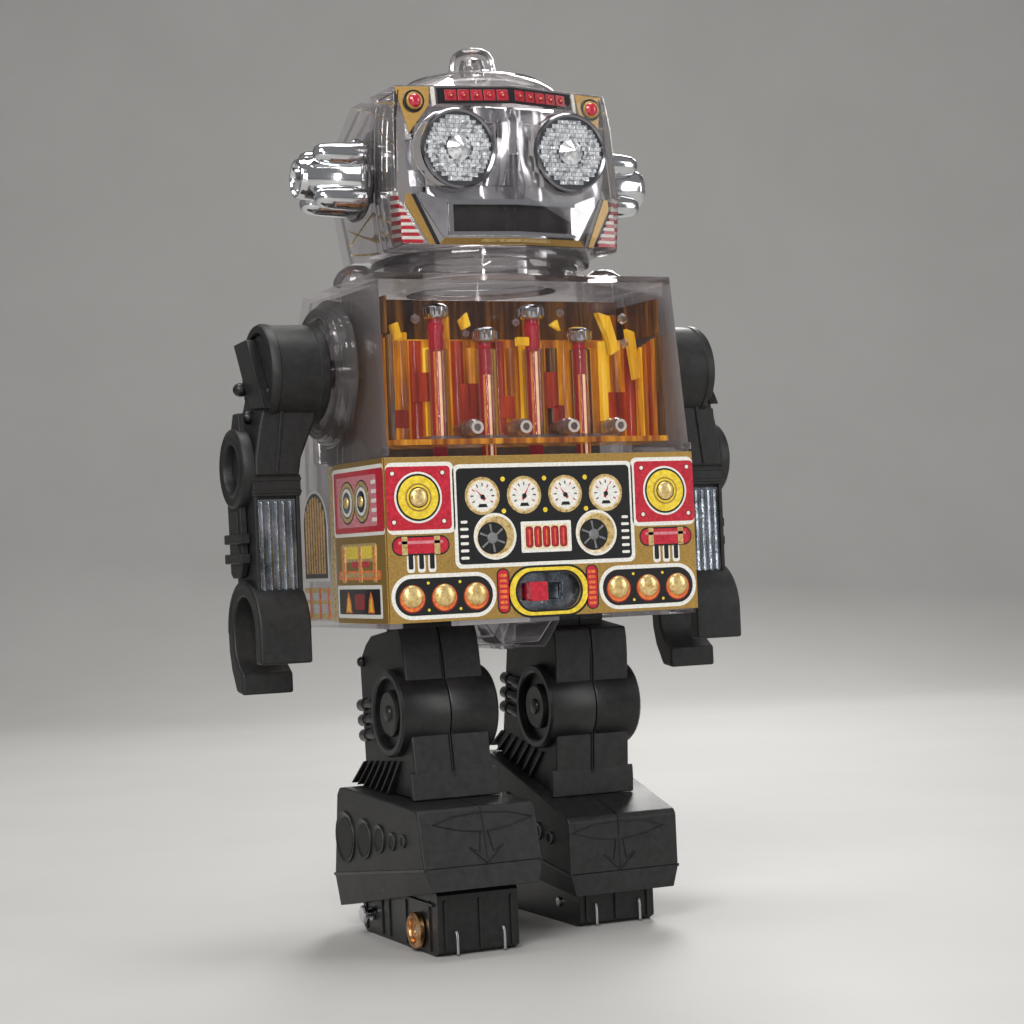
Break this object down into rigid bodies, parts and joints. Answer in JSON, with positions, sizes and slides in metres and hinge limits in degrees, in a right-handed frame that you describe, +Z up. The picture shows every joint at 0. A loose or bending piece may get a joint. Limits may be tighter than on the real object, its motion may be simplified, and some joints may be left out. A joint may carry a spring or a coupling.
{
  "type": "battery-operated walking robot toy",
  "caption": "Walking toy robot in clear plastic with a working piston engine in its chest, gold panels, swinging arms and roller feet.",
  "frame": {"origin": "centre of the footprint at floor level", "axes": "+Z up, the robot faces -Y, its right hand is towards -X"},
  "size_m": [0.1698, 0.1012, 0.28],
  "materials": {
    "clear_plastic": "clear moulded polystyrene with a faint grey tint",
    "label_gold": "metallic gold printed label under clear gloss",
    "amber_plastic": "translucent amber moulded plastic",
    "ruby_plastic": "translucent ruby moulded plastic",
    "chrome_plate": "vacuum-plated bright chrome",
    "steel": "drawn steel",
    "brass_ring": "copper-toned brass",
    "white_plastic": "moulded nylon",
    "grey_plastic": "moulded grey plastic",
    "dark_plastic": "charcoal moulded plastic with a fine grain",
    "cell_wrap": "plain printed wrap",
    "lamp_glass": "warm lamp glass"
  },
  "bodies": {
    "torso": {"battery_left": "cell_wrap", "battery_right": "cell_wrap", "battery_tray": "grey_plastic", "crotch_hopper": "clear_plastic", "cylinder_tubes": "clear_plastic", "dome_cap": "clear_plastic", "engine_block": "amber_plastic", "face_plate": "chrome_plate", "front_panel": "label_gold", "gearbox_plate_left": "grey_plastic", "gearbox_plate_right": "grey_plastic", "head_front_shell": "clear_plastic", "head_rear_shell": "clear_plastic", "hip_shaft": "steel", "lamp": "lamp_glass", "lamp_holder": "grey_plastic", "left_ear": "chrome_plate", "left_eye_reflector": "chrome_plate", "left_shoulder_bearing": "clear_plastic", "left_side_panel": "label_gold", "motor": "steel", "neck_collar": "clear_plastic", "right_ear": "chrome_plate", "right_eye_reflector": "chrome_plate", "right_shoulder_bearing": "clear_plastic", "right_side_panel": "label_gold", "switch_body": "steel", "torso_front_shell": "clear_plastic", "torso_rear_shell": "clear_plastic"},
    "left_arm_body": {"left_arm": "dark_plastic", "left_forearm_plate": "chrome_plate", "left_hand_claw": "dark_plastic", "left_arm_linkage": "dark_plastic"},
    "right_arm_body": {"right_arm": "dark_plastic", "right_forearm_plate": "chrome_plate", "right_hand_claw": "dark_plastic", "right_arm_linkage": "dark_plastic"},
    "right_leg": {"right_leg_outer": "dark_plastic", "right_leg_inner": "dark_plastic", "right_foot_shell": "dark_plastic"},
    "left_leg": {"left_leg_outer": "dark_plastic", "left_leg_inner": "dark_plastic", "left_foot_shell": "dark_plastic"},
    "right_truck": {"right_carriage": "dark_plastic"},
    "left_truck": {"left_carriage": "dark_plastic"},
    "right_front_wheel": {"right_front_roller": "brass_ring"},
    "right_rear_wheel": {"right_rear_roller": "steel"},
    "left_front_wheel": {"left_front_roller": "brass_ring"},
    "left_rear_wheel": {"left_rear_roller": "steel"},
    "piston_1_body": {"piston_1": "ruby_plastic"},
    "piston_2_body": {"piston_2": "ruby_plastic"},
    "piston_3_body": {"piston_3": "ruby_plastic"},
    "piston_4_body": {"piston_4": "ruby_plastic"},
    "camshaft_body": {"camshaft": "white_plastic"},
    "pinion": {"motor_pinion": "brass_ring"},
    "crank": {"crank_gear": "white_plastic"},
    "knob": {"switch_knob": "ruby_plastic"},
    "door": {"battery_door": "clear_plastic"}
  },
  "joints": [
    {"name": "right_hip", "type": "hinge", "parent": "torso", "child": "right_leg", "pos_m": [0, -0.00131, 0.103], "axis": [-1, 0, 0], "range_deg": [-14, 0]},
    {"name": "left_hip", "type": "hinge", "parent": "torso", "child": "left_leg", "pos_m": [0, -0.00131, 0.103], "axis": [-1, 0, 0], "range_deg": [0, 14]},
    {"name": "right_foot_pin", "type": "hinge", "parent": "right_leg", "child": "right_truck", "pos_m": [0, -0.01179, 0.01764], "axis": [-1, 0, 0], "range_deg": [0, 14]},
    {"name": "right_front_roller_spin", "type": "hinge", "parent": "right_truck", "child": "right_front_wheel", "pos_m": [0, -0.02879, 0.0064], "axis": [1, 0, 0], "continuous": true},
    {"name": "right_rear_roller_spin", "type": "hinge", "parent": "right_truck", "child": "right_rear_wheel", "pos_m": [0, 0.00961, 0.0064], "axis": [1, 0, 0], "continuous": true},
    {"name": "left_foot_pin", "type": "hinge", "parent": "left_leg", "child": "left_truck", "pos_m": [0, 0.00917, 0.01764], "axis": [-1, 0, 0], "range_deg": [-14, 0]},
    {"name": "left_front_roller_spin", "type": "hinge", "parent": "left_truck", "child": "left_front_wheel", "pos_m": [0, -0.00783, 0.0064], "axis": [1, 0, 0], "continuous": true},
    {"name": "left_rear_roller_spin", "type": "hinge", "parent": "left_truck", "child": "left_rear_wheel", "pos_m": [0, 0.03057, 0.0064], "axis": [1, 0, 0], "continuous": true},
    {"name": "right_shoulder", "type": "hinge", "parent": "torso", "child": "right_arm_body", "pos_m": [0, -0.00071, 0.1756], "axis": [1, 0, 0], "continuous": true},
    {"name": "left_shoulder", "type": "hinge", "parent": "torso", "child": "left_arm_body", "pos_m": [0, -0.00071, 0.1756], "axis": [1, 0, 0], "continuous": true},
    {"name": "piston_1_slide", "type": "slide", "parent": "torso", "child": "piston_1_body", "axis": [0, 0, 1], "range_m": [-0.0072, 0]},
    {"name": "piston_2_slide", "type": "slide", "parent": "torso", "child": "piston_2_body", "axis": [0, 0, 1], "range_m": [0, 0.0072]},
    {"name": "piston_3_slide", "type": "slide", "parent": "torso", "child": "piston_3_body", "axis": [0, 0, 1], "range_m": [-0.0072, 0]},
    {"name": "piston_4_slide", "type": "slide", "parent": "torso", "child": "piston_4_body", "axis": [0, 0, 1], "range_m": [0, 0.0072]},
    {"name": "camshaft_spin", "type": "hinge", "parent": "torso", "child": "camshaft_body", "pos_m": [0, -0.01981, 0.1316], "axis": [1, 0, 0], "continuous": true},
    {"name": "motor_spin", "type": "hinge", "parent": "torso", "child": "pinion", "pos_m": [0, -0.02259, 0.11179], "axis": [1, 0, 0], "continuous": true},
    {"name": "crank_spin", "type": "hinge", "parent": "torso", "child": "crank", "pos_m": [0, -0.00131, 0.124], "axis": [1, 0, 0], "continuous": true},
    {"name": "switch_slide", "type": "slide", "parent": "torso", "child": "knob", "axis": [1, 0, 0], "range_m": [0, 0.006]},
    {"name": "battery_door_slide", "type": "slide", "parent": "torso", "child": "door", "axis": [0, 0, 1], "range_m": [0, 0.03]}
  ],
  "couplings": [
    {"joint": "left_hip", "follows": "right_hip", "ratio": -1},
    {"joint": "right_foot_pin", "follows": "right_hip", "ratio": -1},
    {"joint": "left_foot_pin", "follows": "right_hip", "ratio": 1},
    {"joint": "piston_2_slide", "follows": "piston_1_slide", "ratio": -1},
    {"joint": "piston_3_slide", "follows": "piston_1_slide", "ratio": 1},
    {"joint": "piston_4_slide", "follows": "piston_1_slide", "ratio": -1},
    {"joint": "motor_spin", "follows": "camshaft_spin", "ratio": -3},
    {"joint": "crank_spin", "follows": "camshaft_spin", "ratio": -0.33333}
  ]
}
